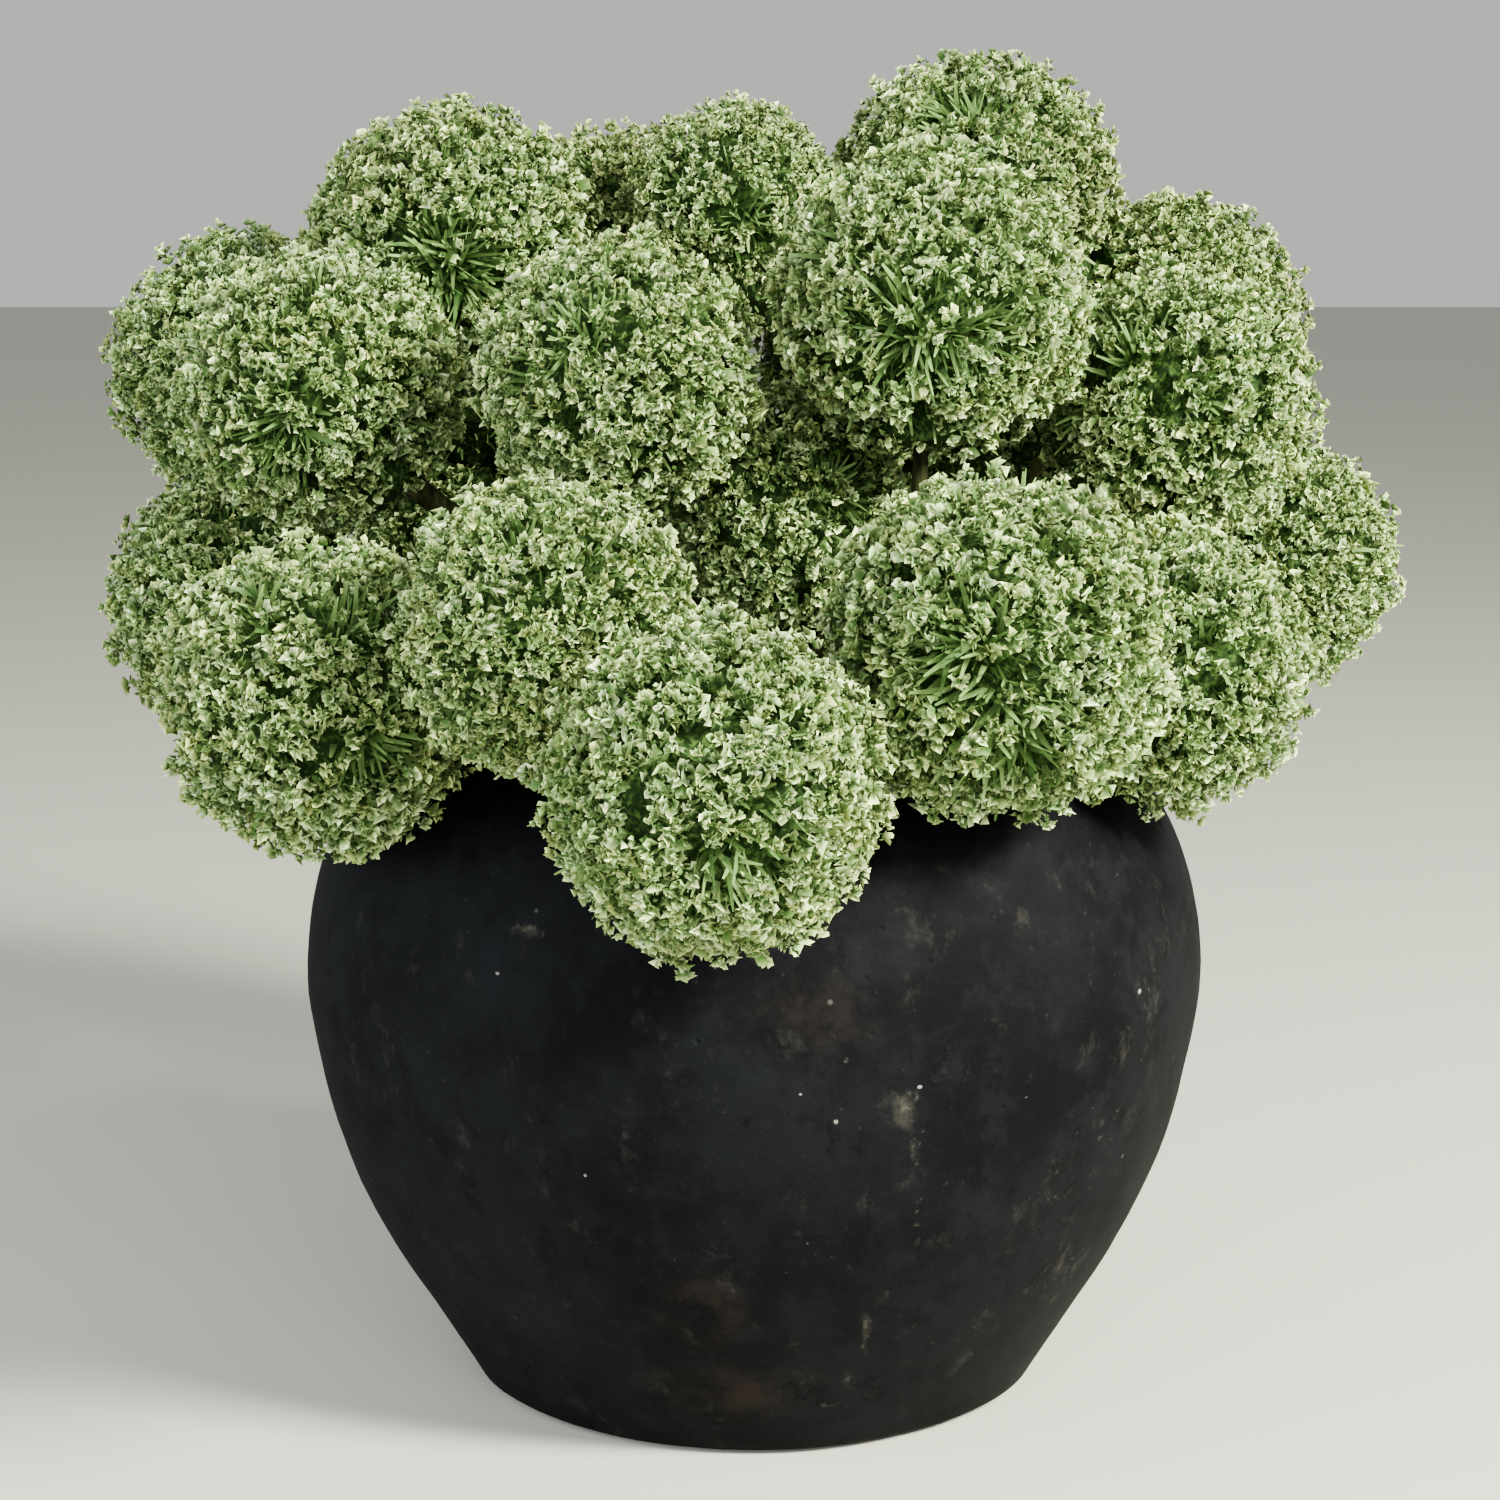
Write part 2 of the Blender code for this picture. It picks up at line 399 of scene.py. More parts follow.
@dataclass(frozen=True)
class StrandFinish:
    """Flat green stalks that carry the florets."""

    shaded_base: Colour = (0.014, 0.042, 0.005)
    bright: Colour = (0.062, 0.138, 0.028)
    pale: Colour = (0.155, 0.250, 0.072)

    def make(self) -> Material:
        """Build the material: darker towards the middle of the head, where the dark is painted shade.

        Returns:
            The material.
        """
        s = Shades("stalks")
        height = s.attribute("height")
        tone = s.attribute("tone")
        tip = s.mix(tone, self.bright, self.pale)
        # Painted shade: the stalk's base, deep in the head, takes the dark colour
        colour = s.mix(height.band(0.1, 1.0), self.shaded_base, tip)
        return s.finish(Base_Color=colour, Roughness=0.6, Specular_IOR_Level=0.15)


@dataclass(frozen=True)
class CoreFinish:
    """The middle of a head: a dark sheet whose colour is painted shade, the shade deep among the stalks."""

    # Painted shade: these dark greens stand for the shade deep inside the head, flecked with the stalks'
    # green
    dark: Colour = (0.005, 0.015, 0.002)
    green: Colour = (0.050, 0.100, 0.020)

    def make(self) -> Material:
        """Build the material: dark green, flecked with the stalks' lighter green.

        Returns:
            The material.
        """
        s = Shades("core")
        where = s.place()
        flecks = s.noise(where, 620.0, 4.0, 0.65)
        cloud = s.noise(where, 120.0, 2.0)
        share = flecks.band(0.46, 0.66) * cloud.band(0.35, 0.65, 0.5, 1.0)
        return s.finish(Base_Color=s.mix(share, self.dark, self.green), Roughness=0.9, Specular_IOR_Level=0.1)


@dataclass(frozen=True)
class StemFinish:
    """Round green stems, a little ribbed along their length."""

    dark: Colour = (0.008, 0.011, 0.004)
    light: Colour = (0.036, 0.040, 0.013)

    def make(self) -> Material:
        """Build the material: streaks along the stem.

        Returns:
            The material.
        """
        s = Shades("stems")
        where = s.place()
        streak = s.noise(s.moved(where, (1.0, 1.0, 0.12)), 700.0, 3.0)
        s.bump(streak, 0.0003, 0.5)
        colour = s.mix(streak.band(0.3, 0.7), self.dark, self.light)
        return s.finish(Base_Color=colour, Roughness=0.9, Specular_IOR_Level=0.04)


@dataclass(frozen=True)
class SoilFinish:
    """Dark crumbly filling."""

    dark: Colour = (0.014, 0.009, 0.006)
    brown: Colour = (0.075, 0.048, 0.028)

    def make(self) -> Material:
        """Build the material: crumbs of two browns.

        Returns:
            The material.
        """
        s = Shades("loose soil")
        where = s.place()
        crumb = s.noise(where, 420.0, 5.0, 0.65)
        s.bump(crumb, 0.0012, 0.8)
        colour = s.mix(crumb.band(0.38, 0.66), self.dark, self.brown)
        return s.finish(Base_Color=colour, Roughness=0.95, Specular_IOR_Level=0.2)


@dataclass(frozen=True)
class Mark:
    """One patch on the clay: its place and half sizes in metres, and how strong it is."""

    spot: Colour
    reach: Colour
    strength: float


def marks(*rows: tuple[float, ...]) -> tuple[Mark, ...]:
    """Marks from rows of seven numbers: the place and the half sizes in mm, and the strength."""
    return tuple(Mark(*(tuple(v * MM for v in row[i:i + 3]) for i in (0, 3)), row[6]) for row in rows)


@dataclass(frozen=True)
class ClayFinish:
    """Near-black unglazed clay: cloudy, dusted in places, with rust stains, scuffs and pale specks."""

    black: Colour = (0.0012, 0.0014, 0.0018)
    grey: Colour = (0.0042, 0.0047, 0.0056)
    dust: Colour = (0.058, 0.053, 0.042)
    rust: Colour = (0.0105, 0.0070, 0.0056)
    speck: Colour = (0.26, 0.25, 0.22)
    dusted: tuple[Mark, ...] = marks(
        (39.0, -122.3, 112.0, 6.0, 14.0, 11.0, 1.0), (42.0, -120.0, 100.0, 3.6, 14.0, 12.0, 0.9),
        (53.0, -114.0, 88.0, 6.0, 14.0, 8.0, 0.5), (43.0, -114.0, 76.0, 2.2, 14.0, 20.0, 0.8),
        (35.0, -107.0, 58.0, 6.0, 14.0, 7.0, 0.7), (30.0, -105.0, 44.0, 2.4, 14.0, 16.0, 1.0),
        (26.0, -96.0, 26.0, 4.0, 16.0, 9.0, 0.9), (-57.8, -109.8, 155.7, 12.0, 14.0, 3.2, 1.0),
        (22.0, -93.0, 18.0, 8.0, 16.0, 4.0, 0.7), (78.0, -88.0, 82.0, 14.0, 22.0, 20.0, 0.6),
        (94.0, -76.0, 96.0, 16.0, 26.0, 34.0, 0.55), (84.0, -70.0, 50.0, 20.0, 30.0, 18.0, 0.7),
        (62.0, -86.0, 38.0, 12.0, 20.0, 12.0, 0.5), (108.0, -72.0, 128.0, 16.0, 22.0, 26.0, 0.45),
        (-96.0, -70.0, 110.0, 26.0, 30.0, 34.0, 0.25), (-80.0, -74.0, 60.0, 24.0, 30.0, 26.0, 0.3),
        (-30.0, 118.0, 80.0, 26.0, 24.0, 30.0, 0.6), (112.0, 50.0, 76.0, 20.0, 26.0, 34.0, 0.5),
        (-114.0, 30.0, 66.0, 18.0, 24.0, 26.0, 0.55), (40.0, 116.0, 120.0, 16.0, 24.0, 20.0, 0.5))
    rusted: tuple[Mark, ...] = marks(
        (-14.2, -112.5, 52.0, 18.0, 20.0, 18.0, 0.9), (-3.7, -95.0, 24.0, 34.0, 24.0, 13.0, 0.9),
        (16.0, -128.0, 138.0, 30.0, 20.0, 14.0, 0.45), (60.0, 105.0, 60.0, 24.0, 24.0, 18.0, 0.7),
        (-90.0, 66.0, 50.0, 24.0, 24.0, 16.0, 0.6))
    flecked: tuple[Mark, ...] = marks(
        (-92.8, -90.0, 152.0, 1.2, 5.0, 1.2, 0.6), (21.2, -128.5, 109.0, 1.2, 5.0, 1.4, 0.9),
        (43.0, -124.0, 117.0, 1.3, 5.0, 1.0, 1.0), (105.0, -78.0, 131.0, 1.2, 4.0, 1.4, 0.8),
        (-67.0, -109.5, 144.0, 1.1, 5.0, 0.9, 0.7), (12.0, -130.0, 117.0, 1.0, 5.0, 0.8, 0.6),
        (72.0, -110.0, 110.0, 1.9, 5.0, 0.8, 0.6), (14.0, -118.0, 74.0, 1.1, 5.0, 1.1, 0.7),
        (-108.0, -54.0, 70.0, 1.2, 4.0, 1.2, 0.6), (-44.0, -117.0, 92.0, 1.2, 5.0, 1.2, 0.7),
        (30.0, 127.0, 120.0, 1.6, 5.0, 1.6, 0.8), (-60.0, 112.0, 98.0, 1.4, 5.0, 1.4, 0.8),
        (-126.0, 20.0, 118.0, 4.0, 1.5, 1.5, 0.7), (124.0, 34.0, 142.0, 5.0, 1.6, 1.4, 0.8))

    def _patches(self, s: Shades, where: NodeSocket, patches: tuple[Mark, ...]) -> Num:
        """Join patches into one mask.

        Args:
            s: The shader builder.
            where: Coordinates.
            patches: The patches.

        Returns:
            The mask.
        """
        made: Num | None = None
        for patch in patches:
            one = s.near(where, patch.spot, patch.reach) * patch.strength
            made = one if made is None else made.most(one)
        return made

    def make(self) -> Material:
        """Build the material from layers of cloud, streak, dust and speck.

        Returns:
            The material.
        """
        s = Shades("clay")
        where = s.place()
        cloud = s.noise(where, 15.0, 6.0, 0.60)
        mottle = s.noise(where, 70.0, 8.0, 0.70)
        grain = s.noise(where, 420.0, 5.0, 0.65)
        grime = s.noise(s.moved(where, (1.0, 1.0, 0.75), (0.4, 0.2, 0.1)), 88.0, 9.0, 0.74)
        trails = s.noise(s.moved(where, (1.0, 1.0, 0.10)), 210.0, 4.0, 0.6)
        rings = s.noise(s.moved(where, (0.22, 0.22, 4.0)), 40.0, 3.0)
        colour = s.mix(cloud.band(0.38, 0.66, 0.0, 0.75), self.black, self.grey)
        colour = s.mix(mottle.band(0.46, 0.66, 0.0, 0.65), colour, self.grey)
        colour = s.mix(mottle.band(0.46, 0.34, 0.0, 0.8), colour, self.black)
        rust = self._patches(s, where, self.rusted) * mottle.band(0.36, 0.60)
        colour = s.mix(rust, colour, self.rust)
        settled = self._patches(s, where, self.dusted)
        film = (grime + settled * 0.15 + (trails - 0.5) * settled * 0.40).band(0.56, 0.80)
        powder = (grain + settled * 0.14 + cloud * 0.06).band(0.68, 0.78)
        colour = s.mix((film * grain * 0.558 + powder * 0.22).least(1.0), colour, self.dust)
        flecks = self._patches(s, where, self.flecked).band(0.25, 0.55) * grain.band(0.30, 0.50)
        strewn = s.cells(where, 60.0).band(0.030, 0.060, 1.0, 0.0) * mottle.band(0.46, 0.56)
        colour = s.mix(flecks * 0.65 + strewn * 0.12, colour, self.speck)
        pits = s.cells(s.moved(where, (1.0, 1.0, 1.0), (0.31, 0.17, 0.05)), 150.0).band(0.04, 0.16, 1.0, 0.0)
        pits = pits * mottle.band(0.45, 0.60)
        s.bump(grain * 0.45 + mottle * 0.7 + rings * 0.4 - pits * 0.6 + flecks * 0.4, 0.0008, 0.8)
        return s.finish(Base_Color=colour, Roughness=film * 0.15 + 0.72, Specular_IOR_Level=0.034)


@dataclass(frozen=True)
class HeadPlace:
    """Where one head sits: centre and radius in mm, and where its stem leaves the soil."""

    x: float
    y: float
    z: float
    radius: float
    stem_x: float
    stem_y: float

    @property
    def centre(self) -> Vector:
        """The head's centre in metres."""
        return Vector((self.x, self.y, self.z)) * MM

    @property
    def size(self) -> float:
        """The head's radius in metres."""
        return self.radius * MM

    @property
    def low(self) -> bool:
        """Whether the head hangs over the rim."""
        return self.z < 250.0

    @property
    def seat(self) -> Vector:
        """Unit vector from the centre to the middle of the underside."""
        aim = Vector((0.0, 0.0, 250.0)) if self.low else Vector((self.stem_x, self.stem_y, 205.0))
        return (aim - Vector((self.x, self.y, self.z))).normalized()


# The photo shows the first eighteen heads, and the other five close the back of the dome
HEADS = tuple(HeadPlace(*row) for row in (
    (-10, -162, 203, 43.5, -3, -47),
    (63, -111, 231, 46.5, 15, -40),
    (-116, -75, 211, 44, -34, -23),
    (-53, -110, 235, 40, -16, -34),
    (113, -52, 216, 41, 32, -22),
    (-123, -9, 289, 41.5, -36, -5),
    (-36, -49, 295, 40, -27, -21),
    (48, -42, 315, 43.5, 43, -34),
    (9, -14, 256, 38, 6, -6),
    (67, 67, 343, 44.5, 25, 24),
    (-91, 52, 327, 45, -31, 18),
    (-6, 61, 337, 36, -2, 22),
    (-42, 117, 329, 37.5, -15, 41),
    (-158, 72, 292, 42, -45, 21),
    (-152, 20, 224, 40.5, -48, 7),
    (131, 86, 303, 42, 36, 28),
    (120, -10, 285, 41, 46, -6),
    (161, 53, 233, 38, 46, 12),
    (-92, 126, 222, 44, -23, 31),
    (-3, 156, 228, 45, 0, 47),
    (86, 138, 240, 44, 26, 40),
    (42, 140, 293, 44, 12, 34),
    (-95, 131, 289, 43, -34, 34),
))

# Partings that the photo shows, as seen by the camera: head number, right and up as shares of the radius, and
# half angle in degrees
PARTINGS = (
    (1, 0.11, -0.45, 15.0),
    (2, -0.23, -0.10, 22.0), (2, 0.02, -0.74, 20.0),
    (3, -0.38, 0.62, 14.0), (3, 0.35, 0.52, 16.0), (3, 0.50, -0.35, 14.0),
    (4, 0.33, 0.48, 13.0),
    (5, 0.20, 0.15, 12.0),
    (6, -0.15, -0.27, 20.0), (6, -0.43, -0.63, 14.0),
    (7, -0.34, 0.32, 20.0), (7, -0.70, -0.10, 12.0),
    (8, -0.18, -0.39, 24.0), (8, 0.40, -0.33, 14.0),
    (9, 0.50, 0.15, 18.0),
    (10, -0.10, 0.50, 18.0),
    (11, 0.05, -0.30, 26.0),
    (12, 0.10, -0.15, 18.0),
    (17, -0.50, 0.37, 14.0), (17, 0.10, 0.00, 12.0),
)


@dataclass
class View:
    """The photo's camera."""

    distance: float = 0.950
    aim_height: float = 0.184
    pitch: float = math.radians(10.0)
    field: float = math.radians(26.0)
    shift: float = -3.7 / 1500.0

    def directions(self) -> tuple[Vector, Vector, Vector]:
        """The camera's right, its up, and the way back towards it."""
        return (Vector((1.0, 0.0, 0.0)), Vector((0.0, math.sin(self.pitch), math.cos(self.pitch))),
                Vector((0.0, -math.cos(self.pitch), math.sin(self.pitch))))

    def make(self) -> None:
        """Create the camera and make it the scene's."""
        data = bpy.data.cameras.new("camera")
        data.sensor_width = 36.0
        data.sensor_fit = "AUTO"
        data.lens = 18.0 / math.tan(self.field / 2.0)
        data.shift_x = self.shift
        data.clip_start = 0.01
        made = put("camera", data)
        back = self.directions()[2]
        made.location = Vector((0.0, 0.0, self.aim_height)) + back * self.distance
        made.rotation_euler = (math.pi / 2.0 - self.pitch, 0.0, 0.0)
        bpy.context.scene.camera = made


class Weave(Graph):
    """Builds one Geometry Nodes tree with named inputs."""

    def __init__(self, name: str, asks: dict[str, str]) -> None:
        """Start a tree with a geometry input and output.

        Args:
            name: The tree's name.
            asks: Its other inputs by name, each with its kind of value.
        """
        self.tree = bpy.data.node_groups.new(name, "GeometryNodeTree")
        super().__init__(self.tree)
        for way in ("INPUT", "OUTPUT"):
            self.tree.interface.new_socket("Geometry", in_out=way, socket_type="NodeSocketGeometry")
        for key, kind in asks.items():
            self.tree.interface.new_socket(key, in_out="INPUT", socket_type="NodeSocket" + kind)
        self.given = self.nodes.new("NodeGroupInput").outputs
        self.result = self.nodes.new("NodeGroupOutput").inputs[0]

    def read(self, name: str, kind: str = "FLOAT") -> NodeSocket:
        """The value that the mesh carries under this name."""
        return self.add("GeometryNodeInputNamedAttribute", {"data_type": kind}, {"Name": name}).outputs[0]

    def maths(self, operation: str, a: object, b: object) -> NodeSocket:
        """One Math node's result."""
        return self.add("ShaderNodeMath", {"operation": operation}, {0: a, 1: b}).outputs[0]

    def vector(self, operation: str, values: dict[object, object]) -> NodeSocket:
        """One Vector Math node's vector result."""
        return self.add("ShaderNodeVectorMath", {"operation": operation}, values).outputs[0]

    def chance(self, low: float, high: float, seed: NodeSocket,
               shift: float) -> NodeSocket:
        """A random number for each point; the shift of the seed gives each use its own draw."""
        made = self.add("FunctionNodeRandomValue", {"data_type": "FLOAT"}, {
            2: low, 3: high, "Seed": self.maths("ADD", seed, shift)})
        return made.outputs[1]

    def chances(self, ranges: tuple[tuple[float, float], ...], seed: NodeSocket,
                shift: float) -> NodeSocket:
        """A random vector for each point, with a range for each axis and seeds that count up."""
        drawn = {axis: self.chance(*ends, seed, shift + axis) for axis, ends in enumerate(ranges)}
        return self.add("ShaderNodeCombineXYZ", {}, drawn).outputs[0]

    def close(self, made: NodeSocket, finish: NodeSocket) -> NodeSocket:
        """Realize the instances and give all of it one material."""
        solid = self.add("GeometryNodeRealizeInstances", {}, {"Geometry": made})
        return self.add("GeometryNodeSetMaterial", {}, {
            "Geometry": solid.outputs[0], "Material": finish}).outputs[0]


class Kind(Enum):
    """The small shapes that are set out over a head."""

    FLORET = "floret"
    STRAND = "strand"


@dataclass
class Tuft:
    """A tuft of crumpled petals and a flat stalk, in a few variants each, in metres for a 42 mm head."""

    petals: int = 10
    petal_length: float = 0.0023
    fan: float = math.radians(72.0)
    crumple: float = 0.55
    plume: float = 0.0050
    # Painted shade: how much darker the outer petals of a tuft are drawn
    outer_shade: float = 0.66
    spread: float = 0.0013
    stalk_length: float = 0.0170
    stalk_width: float = 0.0017
    variants: int = 16
    seed: int = 5

    def _petal(self, bm: BMesh, rng: random.Random, turn: float, out: float) -> None:
        """Add one crumpled petal, a small fan with a green foot and a pale ragged edge; low height values
        mark painted shade at the foot and on the outer petals.

        Args:
            bm: The mesh that it goes into.
            rng: The random source.
            turn: Its direction around the tuft's middle line.
            out: How far out it stands, from 0 to 1.
        """
        lean = math.radians(rng.uniform(0.0, 55.0) + 25.0 * out)
        twist = (Matrix.Rotation(turn, 3, "Z") @ Matrix.Rotation(lean, 3, "Y")
                 @ Matrix.Rotation(rng.uniform(-1.1, 1.1), 3, "Z"))
        foot_place = Vector((self.spread * out * math.cos(turn), self.spread * out * math.sin(turn),
                             -self.plume * out * rng.uniform(0.1, 1.2) - 0.5 * self.petal_length))
        length = self.petal_length * rng.uniform(0.60, 1.35)
        narrow = rng.uniform(0.32, 0.90)
        tone = rng.random()
        # Painted shade: outer petals get a lower height, which the floret finish turns into the dark throat
        # colour
        pale = 1.0 - self.outer_shade * out * rng.uniform(0.4, 1.1)
        heights, flakes = bm.verts.layers.float["height"], bm.verts.layers.float["flake"]
        foot = bm.verts.new(foot_place)
        foot[heights], foot[flakes] = 0.15, tone
        rim = []
        for i in range(5):
            angle = self.fan * (i / 2.0 - 1.0 + rng.uniform(-0.2, 0.2))
            reach = length * rng.uniform(0.62, 1.15) * (1.0 if i % 2 else 0.86)
            curl = length * self.crumple * (rng.uniform(-0.6, 0.6) + (0.4 if i % 2 else -0.4))
            vert = bm.verts.new(foot_place + twist @ Vector(
                (curl, math.sin(angle) * reach * narrow, math.cos(angle) * reach)))
            vert[heights] = (1.0 if i in (1, 2, 3) else 0.70) * rng.uniform(0.75, 1.0) * pale
            vert[flakes] = tone
            rim.append(vert)
        for first, second in zip(rim, rim[1:]):
            bm.faces.new((foot, first, second)).smooth = True

    def _stalk(self, bm: BMesh, rng: random.Random) -> None:
        """Add one flat stalk whose tip is at the origin.

        Args:
            bm: The mesh that it goes into.
            rng: The random source.
        """
        bend = rng.uniform(-0.12, 0.12) * self.stalk_length
        last = None
        for step in range(3):
            t = step / 2.0
            wide = self.stalk_width * (0.8 + 1.1 * t - 1.6 * t * t) * 0.5
            sway = bend * math.sin(math.pi * t)
            row = []
            for side in (-1.0, 1.0):
                lift = -self.stalk_length * (1.0 - t)
                vert = bm.verts.new((side * wide, sway + side * wide * 0.3 * t, lift))
                vert[bm.verts.layers.float["height"]] = t
                vert[bm.verts.layers.float["flake"]] = 0.5
                row.append(vert)
            if last is not None:
                bm.faces.new((last[0], last[1], row[1], row[0]))
            last = row

    def draw(self, kind: Kind) -> Collection:
        """Draw the variants of one kind into a loose collection.

        Args:
            kind: Which small shape.

        Returns:
            The collection, which stays out of the scene.
        """
        home = bpy.data.collections.new(kind.value)
        for number in range(self.variants):
            rng = random.Random(self.seed * 100 + number)
            bm = bmesh.new()
            bm.verts.layers.float.new("height")
            bm.verts.layers.float.new("flake")
            if kind is Kind.FLORET:
                for i in range(self.petals):
                    out = (i / (self.petals - 1)) ** 0.6
                    self._petal(bm, rng, 2.4 * i + rng.uniform(-0.4, 0.4), out)
            else:
                self._stalk(bm, rng)
            mesh = settle(f"{kind.value}_{number}", bm)
            home.objects.link(bpy.data.objects.new(mesh.name, mesh))
        return home


@dataclass(frozen=True)
class Spread:
    """How one kind of small shape is set out over a head, in shares of the radius and radians."""

    name: str
    density: str
    shift: float
    depth: tuple[float, float]
    tilt: float
    sizes: tuple[float, float]


@dataclass
class FlowerHeads:
    """All the globe heads: florets on flat stalks around a dark middle, with the partings of the photo."""

    nominal: float = 0.042
    floret_rise: float = 0.008
    lump: float = 0.075
    lump_scale: float = 2.1
    clump: float = 0.055
    clump_scale: float = 8.5
    ragged_scale: float = 6.0
    seat_share: float = 0.93
    core_share: float = 0.74
    back_core_share: float = 0.88
    pressed_core_share: float = 0.93
    core_rough: float = 0.28
    core_weld: float = 0.0034
    florets: Spread = Spread("Floret", "bloom", 3.0, (-0.090, 0.075), 0.52, (0.80, 1.25))
    strands: Spread = Spread("Strand", "strands", 7.0, (-0.13, 0.020), 0.30, (0.80, 1.20))
    spacing: float = 0.0033
    strand_spacing: float = 0.0025
    pressed_bloom: float = 0.62
    under_bloom: float = 0.55
    under_cosine: float = 0.82
    parted_bloom: float = 0.82
    parting_growth: float = 1.22
    hidden_partings: int = 2
    splay: float = 1.7
    least_strands: float = 0.32
    # Each head's dry share: partly real drying, partly painted shade that darkens some heads
    dried_and_shaded: dict[int, float] = field(default_factory=lambda: {
        7: 0.2, 8: 0.1, 10: 0.4, 11: 0.15, 12: 0.35, 13: 0.8, 16: 0.45})
    back_beyond: float = 120.0
    back_share: float = 1.14
    seed: int = 21
    view: View = field(default_factory=View)
    pot_clear: float = 0.0006
    pot_side: tuple[tuple[float, float], ...] = (
        (74.5, 211.0), (76.0, 208.0), (75.0, 205.0), (90.0, 197.0), (104.6, 187.0), (116.4, 175.0),
        (128.0, 150.0), (131.3, 125.0), (128.3, 100.0))

    def _pot_plane(self, head: HeadPlace) -> tuple[Vector, float] | None:
        """The plane at the jar's nearest point to a head.

        Args:
            head: The head.

        Returns:
            Its normal and distance, or None where the jar is out of reach.
        """
        centre = head.centre
        across = math.hypot(centre.x, centre.y)
        best = (1.0, Vector((0.0, 0.0)))
        for (r0, z0), (r1, z1) in zip(self.pot_side, self.pot_side[1:]):
            for i in range(9):
                t = i / 8.0
                spot = Vector((r0 + t * (r1 - r0), z0 + t * (z1 - z0))) * MM
                away = math.hypot(across - spot.x, centre.z - spot.y)
                if away < best[0]:
                    best = (away, spot)
        away, spot = best
        if away > head.size + self.pot_clear:
            return None
        point = Vector((centre.x / across * spot.x, centre.y / across * spot.x, spot.y))
        return (point - centre).normalized(), away - self.pot_clear

    def _planes(self, number: int) -> list[tuple[Vector, float, float]]:
        """Planes that a head stays behind: its underside, its pressed neighbours and the jar.

        Args:
            number: The head's place in the list, from zero.

        Returns:
            Unit normals with distances from the head's centre, and how close the head's middle comes to each.
        """
        head = HEADS[number]
        planes = [(head.seat, head.size * self.seat_share, self.pressed_core_share)]
        for other in HEADS:
            step = other.centre - head.centre
            apart = step.length
            if apart < 1e-6 or apart > head.size + other.size:
                continue
            middle = (apart ** 2 + head.size ** 2 - other.size ** 2) / (2.0 * apart)
            planes.append((step / apart, middle, 1.0))
        touch = self._pot_plane(head)
        if touch is not None:
            planes.append((*touch, self.pressed_core_share))
        return planes

    def _partings(self, number: int, rng: random.Random) -> list[tuple[Vector, float]]:
        """Directions and half angles in which florets are few.

        Args:
            number: The head's place in the list, from zero.
            rng: The random source for the sides that the photo doesn't show.

        Returns:
            The directions, each with the cosine of its half angle.
        """
        right, up, back = self.view.directions()
        made = []
        for head, across, above, angle in PARTINGS:
            if head == number + 1:
                towards = math.sqrt(max(0.0, 1.0 - across * across - above * above))
                way = right * across + up * above + back * towards
                made.append((way.normalized(), math.cos(math.radians(angle * self.parting_growth))))
        for _ in range(self.hidden_partings):
            way = Vector((rng.gauss(0, 1), rng.gauss(0.8, 1), rng.gauss(0, 1))).normalized()
            made.append((way, math.cos(math.radians(rng.uniform(9.0, 16.0)))))
        return made

    def _ball(self, number: int, core: Material) -> Mesh:
        """The surface that a head's florets stand on, carrying how densely they stand and how they lean.

        Args:
            number: The head's place in the list, from zero.
            core: The finish of the head's middle.

        Returns:
            The mesh.
        """
        head = HEADS[number]
        planes = self._planes(number)
        partings = self._partings(number, random.Random(self.seed + number))
        core_share = self.back_core_share if head.y > self.back_beyond else self.core_share
        bm = bmesh.new()
        bmesh.ops.create_icosphere(bm, subdivisions=4, radius=1.0)
        for name in ("bloom", "strands", "dry", "fill"):
            bm.verts.layers.float.new(name)
        bm.verts.layers.float_vector.new("splay")
        numbers = bm.verts.layers.float
        for vert in bm.verts:
            way = vert.co.normalized()
            lump = noise.noise(way * self.lump_scale + Vector((number * 7.3, 1.7, 4.1)))
            clump = noise.noise(way * self.clump_scale + Vector((number * 3.1, 5.7, 0.4)))
            reach = head.size * (1.0 - self.lump * (0.12 - 0.8 * lump) - self.clump * (0.25 - clump))
            pressed, filled = 1.0, core_share
            for normal, limit, share in planes:
                along = way.dot(normal)
                if along * reach > limit:
                    reach = limit / along
                    pressed, filled = self.pressed_bloom, share
            under = way.dot(head.seat) > self.under_cosine
            ragged = 0.35 * noise.noise(way * self.ragged_scale + Vector((2.2, number * 1.9, 8.0)))
            gap, lean = 0.0, Vector((0.0, 0.0, 0.0))
            for parting, edge in partings:
                along = way.dot(parting)
                close = (along - edge) / (1.0 - edge)
                gap = max(gap, min(1.0, (close + ragged) * 2.0))
                lean += (way - parting * along) * self.splay * min(1.0, max(0.0, close + 1.2))
            uneven = 0.86 + 0.5 * min(0.28, max(-0.5, clump))
            shaded = self.under_bloom if under else 1.0
            vert.co = head.centre + way * (reach - self.floret_rise * head.size)
            vert[numbers["bloom"]] = pressed * shaded * (1.0 - self.parted_bloom * gap) * uneven
            opened = 1.0 if under else gap
            vert[numbers["strands"]] = self.least_strands + (1.0 - self.least_strands) * opened
            vert[numbers["dry"]] = self.dried_and_shaded.get(number + 1, 0.0)
            vert[numbers["fill"]] = max(filled, self.pressed_core_share) if under else filled
            vert[bm.verts.layers.float_vector["splay"]] = lean
        return settle("ball", bm, core)

